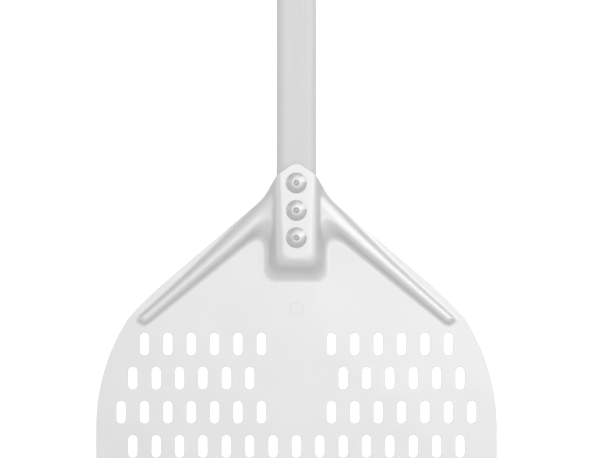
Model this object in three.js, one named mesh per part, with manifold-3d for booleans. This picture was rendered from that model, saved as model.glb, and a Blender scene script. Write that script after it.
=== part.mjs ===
// A perforated pizza peel lying flat, top face up. Millimetres, +Z up, +Y towards the hand end.
// The sheet head, the tube, the plug, the rivets and the grip are separate closed solids.

import * as THREE from 'three';
import { mergeVertices } from 'three/addons/utils/BufferGeometryUtils.js';
import Module from 'manifold-3d';

const wasm = await Module();
wasm.setup();

// ---------- driving dimensions ----------
// Head coordinates: x = 0 on the peel's axis, y = 0 where the straight sides meet the round
// shoulders, z = 0 on the face that the peel rests on.

const CLEARANCE = 0.3;               // gap left between two pieces that touch on the real peel

const BLADE_HALF_WIDTH = 165;
const BLADE_FRONT_Y = -208;
const FRONT_CORNER_RADIUS = 28;
const SHEET = 1.5;                   // thickness of the sheet; the walls of the ribs are thinner
const BEVEL_LENGTH = 7;              // the front edge is ground thinner over this length
const BEVEL_DEPTH = 0.9;

const SHOULDER_ANGLE = 33;           // degrees of round shoulder above the straight side
const SHOULDER_KNEE = [123.3, 106.7];
const SHOULDER_KNEE_RADIUS = 330;
const NECK_KNEE = [28, 187.8];
const NECK_KNEE_RADIUS = 44;
const NECK_CORNER = [16.3, 207];     // the sheet's edge crosses the side of the tube here
const TIP_ANGLE = 35;                // fall of the pointed tip from the axis to the neck corner
const TIP_RADIUS = 9;

const SLOT_WIDTH = 7.7;
const SLOT_LENGTH = 18.8;
const COLUMN_PITCH = 19.27;
const ROW_PITCH = 28.1;
const ROWS = 9;
const FIRST_ROW_Y = 68.45;
const SLOT_RIM = 10;                 // least width of plain sheet outside a slot
const PLAIN_DISC_RADIUS = 35;        // a disc around the middle of the second row has no slots

const TUBE_WIDTH = 32;
const TUBE_HEIGHT = 14;
const TUBE_WALL = 1.5;
const TUBE_BOTTOM_Z = 2.3;           // leaves room for the grip's wall above the resting plane
const TUBE_START_Y = 143;
const TUBE_END_Y = 717;
const TUBE_MIDDLE_Z = TUBE_BOTTOM_Z + TUBE_HEIGHT / 2;
const TUBE_TOP_Z = TUBE_BOTTOM_Z + TUBE_HEIGHT;

// A flank is the wall of a stamped shape: a concave foot arc, a straight wall, a convex crest arc.
const BOSS_TOP_Z = TUBE_TOP_Z + CLEARANCE + SHEET;
const BOSS_RISE = BOSS_TOP_Z - SHEET;
const BOSS_SIDE = { rise: BOSS_RISE, wallAngle: 66, crestRadius: 9.5, footRadius: 6.5 };
const BOSS_MOUTH = { rise: BOSS_RISE, wallAngle: 66, crestRadius: 5, footRadius: 6.5 };
const BOSS_END = { rise: BOSS_RISE, wallAngle: 69.5, crestRadius: 11, footRadius: 11.5 };
const BOSS_FACE_HALF_WIDTH = 9.5;    // at the closed end; it widens evenly to the mouth
const BOSS_MOUTH_HALF_WIDTH = 13;
const BOSS_FACE_END_Y = 140.6;
const BOSS_FACE_CORNER_RADIUS = 6.6;
const BOSS_FOOT_CORNER_RADIUS = 10;
const BOSS_MOUTH_Y = 220;            // beyond the tip, so that the head's outline trims the boss

const RIB_FLANK = { rise: 9, wallAngle: 62, crestRadius: 6.8, footRadius: 4.8 };
const RIB_CREST_HALF_WIDTH = 0.4;
const RIB_OUTER_SHARE = 0.75;        // the outer flank has this much of the inner one's width
const RIB_FLARE = 0.8;               // and this much more beside the boss, where the edge trims it
const RIB_FLARE_LENGTH = 130;
const RIB_START = [11.3, 188.2];     // on the crest line, buried in the boss
const RIB_END = [124.2, 90.7];       // the end slope starts here
const RIB_END_WIDTH = 0.59;          // share of the width left at the end
const RIB_END_HEIGHT = 0.47;         // share of the height left at the end
const RIB_CLIMB = 3;                 // extra height of the crest where it runs into the boss
const RIB_CLIMB_LENGTH = 24;
const RIB_TIP_LENGTH = 9;            // from the end of the crest to the foot of the end slope
const RIB_TIP_SQUARENESS = 3;        // exponent of the superellipse around the end
const RIB_TIP_SKEW = 0.18;           // the outer corner reaches further than the inner one
const FILLET_REACH = 15;             // the corner fillet starts this far from both feet
const FILLET_RISE = 8;               // and fades out at this height

const RIVET_YS = { neck: 200.8, middle: 178.4, blade: 156.1 };
const BLADE_RIVET = {
  headRadius: 8.45,
  rimHeight: 0.7,
  headHeight: 2.9,
  shankRadius: 3.2,
  bulgeRadius: 4.7,
  boreRadius: 1.9,
  blindLength: 4.4,
};
const GRIP_RIVET = {
  headRadius: 4.2,
  rimHeight: 0.5,
  headHeight: 1.3,
  shankRadius: 2,
  bulgeRadius: 3,
  boreRadius: 1.2,
  blindLength: 3.2,
};

const PLUG_DEPTH = 6;
const PLUG_FLANGE = 1.4;

const GRIP_START_Y = 612;
const GRIP_END_Y = 741;
const GRIP_WALL = TUBE_BOTTOM_Z - CLEARANCE;
const GRIP_HALF_WIDTH = TUBE_WIDTH / 2 + CLEARANCE + GRIP_WALL;
const GRIP_HALF_HEIGHT = TUBE_HEIGHT / 2 + CLEARANCE + GRIP_WALL;
const GRIP_TIP_THINNING = 2.4;       // the rounded tip is this much lower on each face
const GRIP_GROOVE_DEPTH = 0.8;
const GRIP_GROOVES = [10, 18, 26];   // distances of the ring grooves from the mouth
const GRIP_GROOVE_WIDTH = 4;
const GRIP_EYE_RADIUS = 6;
const GRIP_EYE_Y = 728;
const GRIP_RIVET_Y = 655;

const ARC_TOLERANCE = 0.04;          // how far a facet may stand off a true arc in an outline
const SECTION_STEPS = 6;             // facets in a quarter circle of a tube or grip section
const ROUND_SIDES = 22;              // facets around a rivet
const FLANK_STEPS = 4;               // facets in each arc of a stamped flank

const MIDDLE_Y = (BLADE_FRONT_Y + GRIP_END_Y) / 2;

// ---------- materials ----------

const BLASTED_ALUMINIUM = { color: 0xd6d7d8, roughness: 0.5, metalness: 0.9 };
const ANODISED_TUBE = { color: 0xc9cacc, roughness: 0.42, metalness: 0.9 };
const TURNED_ALUMINIUM = { color: 0xc4c5c7, roughness: 0.3, metalness: 1 };
const PLAIN_STEEL = { color: 0x8d8f92, roughness: 0.4, metalness: 1 };
const DARK_POLYMER = { color: 0x3b3d40, roughness: 0.65, metalness: 0 };

// ---------- solids and outlines ----------

const radians = THREE.MathUtils.degToRad;

// A three.js geometry as a manifold solid, for the booleans.
function solidOf(geometry) {
  const bare = geometry.clone();
  bare.deleteAttribute('normal');
  bare.deleteAttribute('uv');
  const merged = mergeVertices(bare, 1e-4);
  return new wasm.Manifold(new wasm.Mesh({
    numProp: 3,
    vertProperties: new Float32Array(merged.attributes.position.array),
    triVerts: new Uint32Array(merged.index.array),
  }));
}

function geometryOf(solid) {
  const { vertProperties, triVerts } = solid.getMesh();
  const indexed = new THREE.BufferGeometry();
  indexed.setAttribute('position', new THREE.BufferAttribute(vertProperties, 3));
  indexed.setIndex(Array.from(triVerts));
  const geometry = indexed.toNonIndexed();
  geometry.computeVertexNormals();
  return geometry;
}

function cut(body, tools) {
  return tools.reduce((left, tool) => left.subtract(tool), body);
}

// A closed solid through a stack of convex rings with equal point counts. The lowest ring comes
// first, and each ring runs counter-clockwise as seen from above.
function loft(rings) {
  const count = rings[0].length;
  const top = (rings.length - 1) * count;
  const index = [];
  for (let level = 0; level < top; level += count) {
    for (let i = 0; i < count; i++) {
      const a = level + i;
      const b = level + ((i + 1) % count);
      index.push(a, b, b + count, a, b + count, a + count);
    }
  }
  for (let i = 1; i < count - 1; i++) {
    index.push(0, i + 1, i);
    index.push(top, top + i, top + i + 1);
  }
  const positions = rings.flat().flatMap((point) => point.toArray());
  const geometry = new THREE.BufferGeometry();
  geometry.setAttribute('position', new THREE.Float32BufferAttribute(positions, 3));
  geometry.setIndex(index);
  return geometry;
}

// Corners as [x, y, fillet radius], counter-clockwise, turned into a polyline with real arcs.
function filleted(corners, arcSteps) {
  const points = [];
  const add = (point) => {
    const repeated = points.some((other) => other.distanceTo(point) < 1e-6);
    if (!repeated) points.push(point);
  };
  corners.forEach(([x, y, radius], i) => {
    const corner = new THREE.Vector2(x, y);
    const [lastX, lastY] = corners.at(i - 1);
    const [nextX, nextY] = corners[(i + 1) % corners.length];
    const back = new THREE.Vector2(lastX, lastY).sub(corner).normalize();
    const ahead = new THREE.Vector2(nextX, nextY).sub(corner).normalize();
    if (radius === 0) {
      add(corner);
      return;
    }
    const turn = Math.PI - Math.acos(back.dot(ahead));
    const inward = back.clone().add(ahead).normalize();
    const centre = corner.clone().addScaledVector(inward, radius / Math.cos(turn / 2));
    const start = corner.clone().addScaledVector(back, radius * Math.tan(turn / 2)).sub(centre);
    const direction = Math.sign(ahead.cross(back));
    const finest = 2 * Math.acos(1 - ARC_TOLERANCE / radius);
    const steps = arcSteps ?? Math.ceil(turn / finest);
    for (let k = 0; k <= steps; k++) {
      const spoke = start.clone().rotateAround(new THREE.Vector2(), (direction * turn * k) / steps);
      add(spoke.add(centre));
    }
  });
  return points;
}

// Two half circles joined by straight lines, wider than high, centred on the origin.
function stadium(halfWidth, halfHeight) {
  const corners = [[1, -1], [1, 1], [-1, 1], [-1, -1]];
  return filleted(
    corners.map(([x, y]) => [x * halfWidth, y * halfHeight, halfHeight]),
    SECTION_STEPS,
  );
}

// A flat outline raised from one height to another.
function raised(shape, fromZ, toZ) {
  const geometry = new THREE.ExtrudeGeometry(shape, {
    depth: toZ - fromZ,
    bevelEnabled: false,
    curveSegments: 2,
  });
  return geometry.translate(0, 0, fromZ);
}

// A stadium section of the handle between two stations along the peel.
function handleBar(halfWidth, halfHeight, fromY, toY) {
  const section = new THREE.Shape(stadium(halfWidth, halfHeight));
  const geometry = new THREE.ExtrudeGeometry(section, { depth: toY - fromY, bevelEnabled: false });
  return solidOf(geometry.rotateX(Math.PI / 2).translate(0, toY, TUBE_MIDDLE_Z));
}

// An upright cylinder on the peel's axis, from the tube's middle out through its top.
function rivetHole(rivet, y) {
  const radius = rivet.shankRadius + CLEARANCE;
  const height = TUBE_HEIGHT;
  const cylinder = new THREE.CylinderGeometry(radius, radius, height, ROUND_SIDES);
  return solidOf(cylinder.rotateX(Math.PI / 2).translate(0, y, TUBE_MIDDLE_Z + height / 2));
}

// A closed half profile of [radius, height] points spun around the vertical.
function turned(profile) {
  const points = profile.map(([radius, height]) => new THREE.Vector2(radius, height));
  return new THREE.LatheGeometry(points, ROUND_SIDES).rotateX(Math.PI / 2);
}

// ---------- stamped flanks ----------

function flankParts({ rise, wallAngle, crestRadius, footRadius }) {
  const angle = radians(wallAngle);
  const footHeight = footRadius * (1 - Math.cos(angle));
  const crestHeight = crestRadius * (1 - Math.cos(angle));
  const wallHeight = rise - footHeight - crestHeight;
  const footRun = footRadius * Math.sin(angle);
  const run = footRun + wallHeight / Math.tan(angle) + crestRadius * Math.sin(angle);
  return { angle, footHeight, crestHeight, footRun, run };
}

// The underside of a flank has the same arc centres and wall angle, one sheet thickness away.
function underside(flank) {
  return {
    ...flank,
    crestRadius: flank.crestRadius - SHEET,
    footRadius: flank.footRadius + SHEET,
  };
}

// Level distance in from the foot of a flank to where it has climbed to a given height.
function runTo(flank, height) {
  const { angle, footHeight, crestHeight, footRun, run } = flankParts(flank);
  if (height <= footHeight) {
    return Math.sqrt(flank.footRadius ** 2 - (flank.footRadius - height) ** 2);
  }
  const drop = flank.rise - height;
  if (drop <= crestHeight) {
    return run - Math.sqrt(flank.crestRadius ** 2 - (flank.crestRadius - drop) ** 2);
  }
  return footRun + (height - footHeight) / Math.tan(angle);
}

// Height that a flank has climbed to after a level run in from its foot.
function heightAfter(flank, distance) {
  const { angle, footHeight, footRun, run } = flankParts(flank);
  if (distance <= 0) return 0;
  if (distance <= footRun) {
    return flank.footRadius - Math.sqrt(flank.footRadius ** 2 - distance ** 2);
  }
  const left = Math.max(0, run - distance);
  if (left <= flank.crestRadius * Math.sin(angle)) {
    return flank.rise - flank.crestRadius + Math.sqrt(flank.crestRadius ** 2 - left ** 2);
  }
  return footHeight + (distance - footRun) * Math.tan(angle);
}

// Heights above the foot that follow a flank in equal steps of slope along each arc.
function ringHeights(flank, stepsPerArc) {
  const arcHeight = (radius, step) =>
    radius * (1 - Math.cos(radians(flank.wallAngle) * (step / stepsPerArc)));
  const steps = Array.from({ length: stepsPerArc + 1 }, (_, step) => step);
  const foot = steps.map((step) => arcHeight(flank.footRadius, step));
  const crest = steps.map((step) => flank.rise - arcHeight(flank.crestRadius, step)).reverse();
  const leastStep = 0.1;
  return [...foot, ...crest.filter((height) => height > foot.at(-1) + leastStep)];
}

// ---------- the sheet head ----------

function headOutline() {
  const angle = radians(SHOULDER_ANGLE);
  const tipY = NECK_CORNER[1] + NECK_CORNER[0] * Math.tan(radians(TIP_ANGLE));
  const rightSide = [
    [BLADE_HALF_WIDTH, BLADE_FRONT_Y, FRONT_CORNER_RADIUS],
    [BLADE_HALF_WIDTH, BLADE_HALF_WIDTH * Math.tan(angle / 2), BLADE_HALF_WIDTH],
    [BLADE_HALF_WIDTH * Math.cos(angle), BLADE_HALF_WIDTH * Math.sin(angle), 0],
    [...SHOULDER_KNEE, SHOULDER_KNEE_RADIUS],
    [...NECK_KNEE, NECK_KNEE_RADIUS],
    [...NECK_CORNER, 0],
  ];
  const leftSide = rightSide.map(([x, y, radius]) => [-x, y, radius]).reverse();
  return filleted([...rightSide, [0, tipY, TIP_RADIUS], ...leftSide]);
}

function bladeHalfWidthAt(y) {
  return y > 0 ? Math.sqrt(BLADE_HALF_WIDTH ** 2 - y ** 2) : BLADE_HALF_WIDTH;
}

// Rows alternate: one straddles the axis, the next has a column on it.
function slotCentres() {
  const centres = [];
  const discY = FIRST_ROW_Y - ROW_PITCH;
  for (let row = 0; row < ROWS; row++) {
    const y = FIRST_ROW_Y - row * ROW_PITCH;
    const stagger = row % 2 === 0 ? 0.5 : 0;
    const farX = bladeHalfWidthAt(y + SLOT_LENGTH / 2) - SLOT_RIM - SLOT_WIDTH / 2;
    const lastColumn = Math.floor(farX / COLUMN_PITCH - stagger) + stagger;
    for (let column = -lastColumn; column <= lastColumn; column++) {
      const x = column * COLUMN_PITCH;
      if (Math.hypot(x, y - discY) > PLAIN_DISC_RADIUS) centres.push([x, y]);
    }
  }
  return centres;
}

function slotPath([x, y]) {
  const radius = SLOT_WIDTH / 2;
  const straight = SLOT_LENGTH / 2 - radius;
  const path = new THREE.Path();
  path.absarc(x, y + straight, radius, 0, Math.PI);
  path.absarc(x, y - straight, radius, Math.PI, 2 * Math.PI);
  path.closePath();
  return path;
}

// The stamped shapes are made twice: as the skin on top of the sheet, and as the hollow under it.
const SKIN = {
  footZ: SHEET,
  side: BOSS_SIDE,
  mouth: BOSS_MOUTH,
  end: BOSS_END,
  rib: RIB_FLANK,
  filletReach: FILLET_REACH,
};
const HOLLOW = {
  footZ: 0,
  side: underside(BOSS_SIDE),
  mouth: underside(BOSS_MOUTH),
  end: underside(BOSS_END),
  rib: underside(RIB_FLANK),
  filletReach: FILLET_REACH + 2 * SHEET,
};

function bossEndY({ end }, height) {
  return BOSS_FACE_END_Y - flankParts(end).run + runTo(end, height);
}

function bossHalfWidth(layer, height, y) {
  const endY = bossEndY(layer, height);
  const reach = (flank) => flankParts(flank).run - runTo(flank, height);
  return THREE.MathUtils.mapLinear(
    y,
    endY,
    BOSS_MOUTH_Y,
    BOSS_FACE_HALF_WIDTH + reach(layer.side),
    BOSS_MOUTH_HALF_WIDTH + reach(layer.mouth),
  );
}

// Level line of the boss: a U that stays open towards the hand.
function bossRing(layer, height, z) {
  const endY = bossEndY(layer, height);
  const closed = bossHalfWidth(layer, height, endY);
  const open = bossHalfWidth(layer, height, BOSS_MOUTH_Y);
  const climbed = runTo(layer.side, height) / flankParts(layer.side).run;
  const radius = THREE.MathUtils.lerp(BOSS_FOOT_CORNER_RADIUS, BOSS_FACE_CORNER_RADIUS, climbed);
  const corners = [
    [-closed, endY, radius],
    [closed, endY, radius],
    [open, BOSS_MOUTH_Y, 0],
    [-open, BOSS_MOUTH_Y, 0],
  ];
  return filleted(corners, SECTION_STEPS).map(({ x, y }) => new THREE.Vector3(x, y, z));
}

// Each stamped solid starts a little below its foot, so that it joins or cuts cleanly.
function bossGeometry(layer) {
  const rings = ringHeights(layer.side, FLANK_STEPS).map((height) =>
    bossRing(layer, height, layer.footZ + height));
  return loft([bossRing(layer, 0, layer.footZ - SHEET / 2), ...rings]);
}

// A place on the right-hand rib is given by the distance along the crest line from its start, and
// the distance inward across it, which is negative on the side of the sheet's edge.
const ribStart = new THREE.Vector2(...RIB_START);
const ribSpan = new THREE.Vector2(...RIB_END).sub(ribStart);
const ribLength = ribSpan.length();
const ribAlong = ribSpan.clone().normalize();
const ribInward = new THREE.Vector2(ribAlong.y, -ribAlong.x);
const ribReach = RIB_CREST_HALF_WIDTH + flankParts(RIB_FLANK).run;

function ribPoint(along, inward, z) {
  const point = ribStart.clone().addScaledVector(ribAlong, along).addScaledVector(ribInward, inward);
  return new THREE.Vector3(point.x, point.y, z);
}

// How far the two flanks reach from the crest line, and the share of the full height.
function ribSize(along) {
  const share = THREE.MathUtils.clamp(along / ribLength, 0, 1);
  const inner = ribReach * THREE.MathUtils.lerp(1, RIB_END_WIDTH, share);
  const climb = RIB_CLIMB * THREE.MathUtils.clamp(1 - along / RIB_CLIMB_LENGTH, 0, 1) ** 2;
  const tallness = THREE.MathUtils.lerp(1, RIB_END_HEIGHT, share) + climb / RIB_FLANK.rise;
  const flare = RIB_FLARE * THREE.MathUtils.clamp(1 - along / RIB_FLARE_LENGTH, 0, 1) ** 2;
  return { outer: (RIB_OUTER_SHARE + flare) * inner, inner, tallness };
}

// A section across the rib. Past the end of the crest, its level lines are superellipses.
function ribSection({ footZ, rib }, station) {
  const { outer, inner, tallness } = ribSize(station);
  const beyond = Math.max(0, station - ribLength) / RIB_TIP_LENGTH;
  const power = RIB_TIP_SQUARENESS;
  const width = (1 - beyond ** power) ** (1 / power);
  const place = (share, z) => {
    const across = share * width * (share < 0 ? outer : inner);
    return ribPoint(station - RIB_TIP_SKEW * across, across, z);
  };
  const surface = (share) => {
    const around = ((Math.abs(share) * width) ** power + beyond ** power) ** (1 / power);
    return place(share, footZ + tallness * heightAfter(rib, ribReach * (1 - around)));
  };
  const shares = ringHeights(rib, FLANK_STEPS).map((height) => 1 - runTo(rib, height) / ribReach);
  const bottomZ = footZ - SHEET / 2;
  return [
    place(0, bottomZ),
    place(-1, bottomZ),
    ...shares.map((share) => surface(-share)),
    ...shares.toReversed().map(surface),
    place(1, bottomZ),
  ];
}

function ribGeometry(layer) {
  const climbStations = [0, 0.25, 0.5, 0.75, 1].map((share) => share * RIB_CLIMB_LENGTH);
  const flareStations = [0.3, 0.45, 0.65, 0.85].map((share) => share * RIB_FLARE_LENGTH);
  const tipStations = [0, 0.25, 0.5, 0.7, 0.85, 0.95, 0.99].map((share) =>
    ribLength + share * RIB_TIP_LENGTH);
  const stations = [...climbStations, ...flareStations, ...tipStations];
  return loft(stations.map((station) => ribSection(layer, station)));
}

// The point at given level distances from the boss's side and from the rib's inner side, for
// level lines at a height. Both lines bend a little, so that it is found in a few passes.
function cornerPoint(layer, height, fromBoss, fromRib, z) {
  const passes = 10;
  let along = 0;
  let point = ribPoint(0, 0, z);
  for (let pass = 0; pass < passes; pass++) {
    const { inner, tallness } = ribSize(along);
    const inward = inner * (1 - runTo(layer.rib, height / tallness) / ribReach) + fromRib;
    const x = bossHalfWidth(layer, height, point.y) + fromBoss;
    along = (x - ribStart.x - inward * ribInward.x) / ribAlong.x;
    point = ribPoint(along, inward, z);
  }
  return point;
}

// Level line of the fillet in the corner between boss and rib. The first point lies in both.
function filletRing(layer, height, z) {
  const buried = -SHEET;
  const reach = layer.filletReach * Math.sqrt(1 - (height / FILLET_RISE) ** 4);
  const at = (fromBoss, fromRib) => cornerPoint(layer, height, fromBoss, fromRib, z);
  const steps = 8;
  const curve = Array.from({ length: steps + 1 }, (_, step) => {
    const lead = reach * ((2 * step) / steps - 1);
    const nearest = (reach - Math.abs(lead)) ** 2 / (4 * reach);
    return at(nearest + Math.max(0, lead), nearest + Math.max(0, -lead));
  });
  return [at(buried, buried), at(buried, reach), ...curve, at(reach, buried)];
}

function filletGeometry(layer) {
  const levels = 10;
  const heights = Array.from({ length: levels }, (_, level) =>
    FILLET_RISE * (0.5 - 0.5 * Math.cos((Math.PI * level) / levels)));
  const rings = heights.map((height) => filletRing(layer, height, layer.footZ + height));
  return loft([filletRing(layer, 0, layer.footZ - SHEET / 2), ...rings]);
}

function mirrored(geometry) {
  const copy = geometry.clone().scale(-1, 1, 1);
  copy.setIndex(Array.from(copy.index.array).reverse());
  return copy;
}

function stampedSolids(layer) {
  const oneSided = [ribGeometry(layer), filletGeometry(layer)];
  return [bossGeometry(layer), ...oneSided, ...oneSided.map(mirrored)].map(solidOf);
}

// A wedge over the front edge that leaves the sheet thinner there.
function frontBevel() {
  const profile = new THREE.Shape([
    new THREE.Vector2(-BEVEL_LENGTH, 0),
    new THREE.Vector2(BEVEL_LENGTH, 2 * BEVEL_DEPTH),
    new THREE.Vector2(-BEVEL_LENGTH, 2 * BEVEL_DEPTH),
  ]);
  const length = 3 * BLADE_HALF_WIDTH;
  const wedge = new THREE.ExtrudeGeometry(profile, { depth: length, bevelEnabled: false });
  wedge.rotateX(Math.PI / 2).rotateZ(Math.PI / 2);
  return solidOf(wedge.translate(-length / 2, BLADE_FRONT_Y, SHEET - BEVEL_DEPTH));
}

function headGeometry() {
  const outline = headOutline();
  const perforated = new THREE.Shape(outline);
  perforated.holes = slotCentres().map(slotPath);
  const sheet = solidOf(raised(new THREE.Shape(outline), 0, SHEET));
  const footprint = solidOf(raised(perforated, -SHEET, BOSS_TOP_Z + SHEET));
  const stamped = stampedSolids(SKIN).reduce((joined, solid) => joined.add(solid), sheet);
  const holes = Object.values(RIVET_YS).map((y) => rivetHole(BLADE_RIVET, y));
  const tools = [...stampedSolids(HOLLOW), ...holes, frontBevel()];
  return geometryOf(cut(stamped.intersect(footprint), tools));
}

// ---------- tube, plug, rivets and grip ----------

function tubeGeometry() {
  const [halfWidth, halfHeight] = [TUBE_WIDTH / 2, TUBE_HEIGHT / 2];
  const outside = handleBar(halfWidth, halfHeight, TUBE_START_Y, TUBE_END_Y);
  const inside = handleBar(
    halfWidth - TUBE_WALL,
    halfHeight - TUBE_WALL,
    TUBE_START_Y - TUBE_WALL,
    TUBE_END_Y + TUBE_WALL,
  );
  const holes = Object.values(RIVET_YS).map((y) => rivetHole(BLADE_RIVET, y));
  return geometryOf(cut(outside, [inside, ...holes, rivetHole(GRIP_RIVET, GRIP_RIVET_Y)]));
}

// A stepped plug: a flange over the tube's end and a neck inside it.
function plugGeometry() {
  const neckInset = TUBE_WALL + CLEARANCE;
  const flangeInset = TUBE_WALL / 2;
  const [halfWidth, halfHeight] = [TUBE_WIDTH / 2, TUBE_HEIGHT / 2];
  const flangeTop = TUBE_START_Y - CLEARANCE;
  const flangeBottom = flangeTop - PLUG_FLANGE;
  const neck = handleBar(
    halfWidth - neckInset,
    halfHeight - neckInset,
    flangeBottom,
    flangeTop + PLUG_DEPTH,
  );
  const flange = handleBar(halfWidth - flangeInset, halfHeight - flangeInset, flangeBottom, flangeTop);
  return geometryOf(neck.add(flange));
}

// A blind rivet after setting, spun around the vertical. faceZ is the face that its head lies on.
// The shank reaches through to the inside of the tube's top wall, where the blind end is folded.
function rivetLevels(rivet, faceZ) {
  const head = faceZ + CLEARANCE;
  const blindTop = TUBE_TOP_Z - TUBE_WALL - CLEARANCE;
  return { head, blindTop, blindEnd: blindTop - rivet.blindLength };
}

function rivetBody(rivet, faceZ) {
  const { head, blindTop, blindEnd } = rivetLevels(rivet, faceZ);
  const [endShare, rootShare] = [0.8, 0.9];
  const profile = [
    [rivet.boreRadius, blindEnd],
    [rivet.bulgeRadius * endShare, blindEnd],
    [rivet.bulgeRadius, (blindTop + blindEnd) / 2],
    [rivet.bulgeRadius * rootShare, blindTop],
    [rivet.shankRadius, blindTop],
    [rivet.shankRadius, head],
    [rivet.headRadius, head],
    [rivet.headRadius, head + rivet.rimHeight],
  ];
  const domeSteps = 4;
  const lipRadius = rivet.boreRadius + rivet.rimHeight / 2;
  for (let k = 1; k <= domeSteps; k++) {
    const share = k / domeSteps;
    const radius = THREE.MathUtils.lerp(rivet.headRadius, lipRadius, share);
    const rise = (rivet.headHeight - rivet.rimHeight) * Math.sin((Math.PI / 2) * share);
    profile.push([radius, head + rivet.rimHeight + rise]);
  }
  profile.push([rivet.boreRadius, head + rivet.headHeight - rivet.rimHeight / 2]);
  profile.push(profile[0]);
  return turned(profile);
}

// What is left of the rivet's pulling pin: a stub in the bore and its head under the blind end.
function rivetMandrel(rivet, faceZ) {
  const { head, blindEnd } = rivetLevels(rivet, faceZ);
  const pinRadius = rivet.boreRadius - CLEARANCE;
  const stubTop = head + rivet.headHeight - rivet.rimHeight;
  const headTop = blindEnd - CLEARANCE;
  const headRadius = rivet.shankRadius * 0.9;
  const tipRadius = rivet.shankRadius * 0.6;
  const headBottom = headTop - tipRadius;
  return turned([
    [0, headBottom],
    [tipRadius, headBottom],
    [headRadius, headTop],
    [pinRadius, headTop],
    [pinRadius, stubTop - rivet.rimHeight / 3],
    [0, stubTop],
  ]);
}

// Distance from the tip and half sizes of each section of the grip, tip first.
function gripSections() {
  const sections = [];
  const roundSteps = 8;
  const leastFlatness = 1.1;
  for (let k = 0; k <= roundSteps; k++) {
    const angle = (Math.PI / 2) * (k / roundSteps);
    const halfHeight = GRIP_HALF_HEIGHT - GRIP_TIP_THINNING * (1 - Math.sin(angle));
    const halfWidth = Math.max(GRIP_HALF_WIDTH * Math.sin(angle), leastFlatness * halfHeight);
    sections.push([GRIP_HALF_WIDTH * (1 - Math.cos(angle)), halfWidth, halfHeight]);
  }
  const length = GRIP_END_Y - GRIP_START_Y;
  for (const groove of [...GRIP_GROOVES].reverse()) {
    const profile = [[1, 0], [0.5, 1], [-0.5, 1], [-1, 0]];
    for (const [edge, share] of profile) {
      const depth = GRIP_GROOVE_DEPTH * share;
      const fromTip = length - groove - (edge * GRIP_GROOVE_WIDTH) / 2;
      sections.push([fromTip, GRIP_HALF_WIDTH - depth, GRIP_HALF_HEIGHT - depth]);
    }
  }
  const lip = GRIP_GROOVE_DEPTH;
  sections.push([length - lip, GRIP_HALF_WIDTH, GRIP_HALF_HEIGHT]);
  sections.push([length, GRIP_HALF_WIDTH - lip, GRIP_HALF_HEIGHT - lip]);
  return sections;
}

function gripGeometry() {
  const rings = gripSections().map(([fromTip, halfWidth, halfHeight]) =>
    stadium(halfWidth, halfHeight).map(({ x, y }) => new THREE.Vector3(x, y, fromTip)));
  const body = loft(rings).rotateX(Math.PI / 2).translate(0, GRIP_END_Y, TUBE_MIDDLE_Z);
  const socket = handleBar(
    TUBE_WIDTH / 2 + CLEARANCE,
    TUBE_HEIGHT / 2 + CLEARANCE,
    GRIP_START_Y - GRIP_WALL,
    TUBE_END_Y + CLEARANCE,
  );
  const eye = new THREE.CylinderGeometry(GRIP_EYE_RADIUS, GRIP_EYE_RADIUS, 4 * TUBE_HEIGHT, ROUND_SIDES);
  eye.rotateX(Math.PI / 2).translate(0, GRIP_EYE_Y, 0);
  const tools = [socket, solidOf(eye), rivetHole(GRIP_RIVET, GRIP_RIVET_Y)];
  return geometryOf(cut(solidOf(body), tools));
}

// ---------- assembly ----------

const peel = new THREE.Group();
peel.name = 'pizza_peel';

function addPiece(name, geometry, finish, y = 0) {
  const mesh = new THREE.Mesh(geometry, new THREE.MeshStandardMaterial(finish));
  mesh.name = name;
  mesh.position.y = y - MIDDLE_Y;
  peel.add(mesh);
}

addPiece('head', headGeometry(), BLASTED_ALUMINIUM);
addPiece('handle_tube', tubeGeometry(), ANODISED_TUBE);
addPiece('tube_plug', plugGeometry(), DARK_POLYMER);
for (const [place, y] of Object.entries(RIVET_YS)) {
  addPiece(`rivet_body_${place}`, rivetBody(BLADE_RIVET, BOSS_TOP_Z), TURNED_ALUMINIUM, y);
  addPiece(`rivet_mandrel_${place}`, rivetMandrel(BLADE_RIVET, BOSS_TOP_Z), PLAIN_STEEL, y);
}
const gripTopZ = TUBE_MIDDLE_Z + GRIP_HALF_HEIGHT;
addPiece('end_grip', gripGeometry(), DARK_POLYMER);
addPiece('grip_rivet_body', rivetBody(GRIP_RIVET, gripTopZ), TURNED_ALUMINIUM, GRIP_RIVET_Y);
addPiece('grip_rivet_mandrel', rivetMandrel(GRIP_RIVET, gripTopZ), PLAIN_STEEL, GRIP_RIVET_Y);

export default peel;
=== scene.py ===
"""Looks of the pizza peel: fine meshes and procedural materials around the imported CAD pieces."""

import math

import bmesh
import bpy
import numpy as np
from mathutils import Matrix, Vector
from mathutils.geometry import delaunay_2d_cdt


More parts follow.
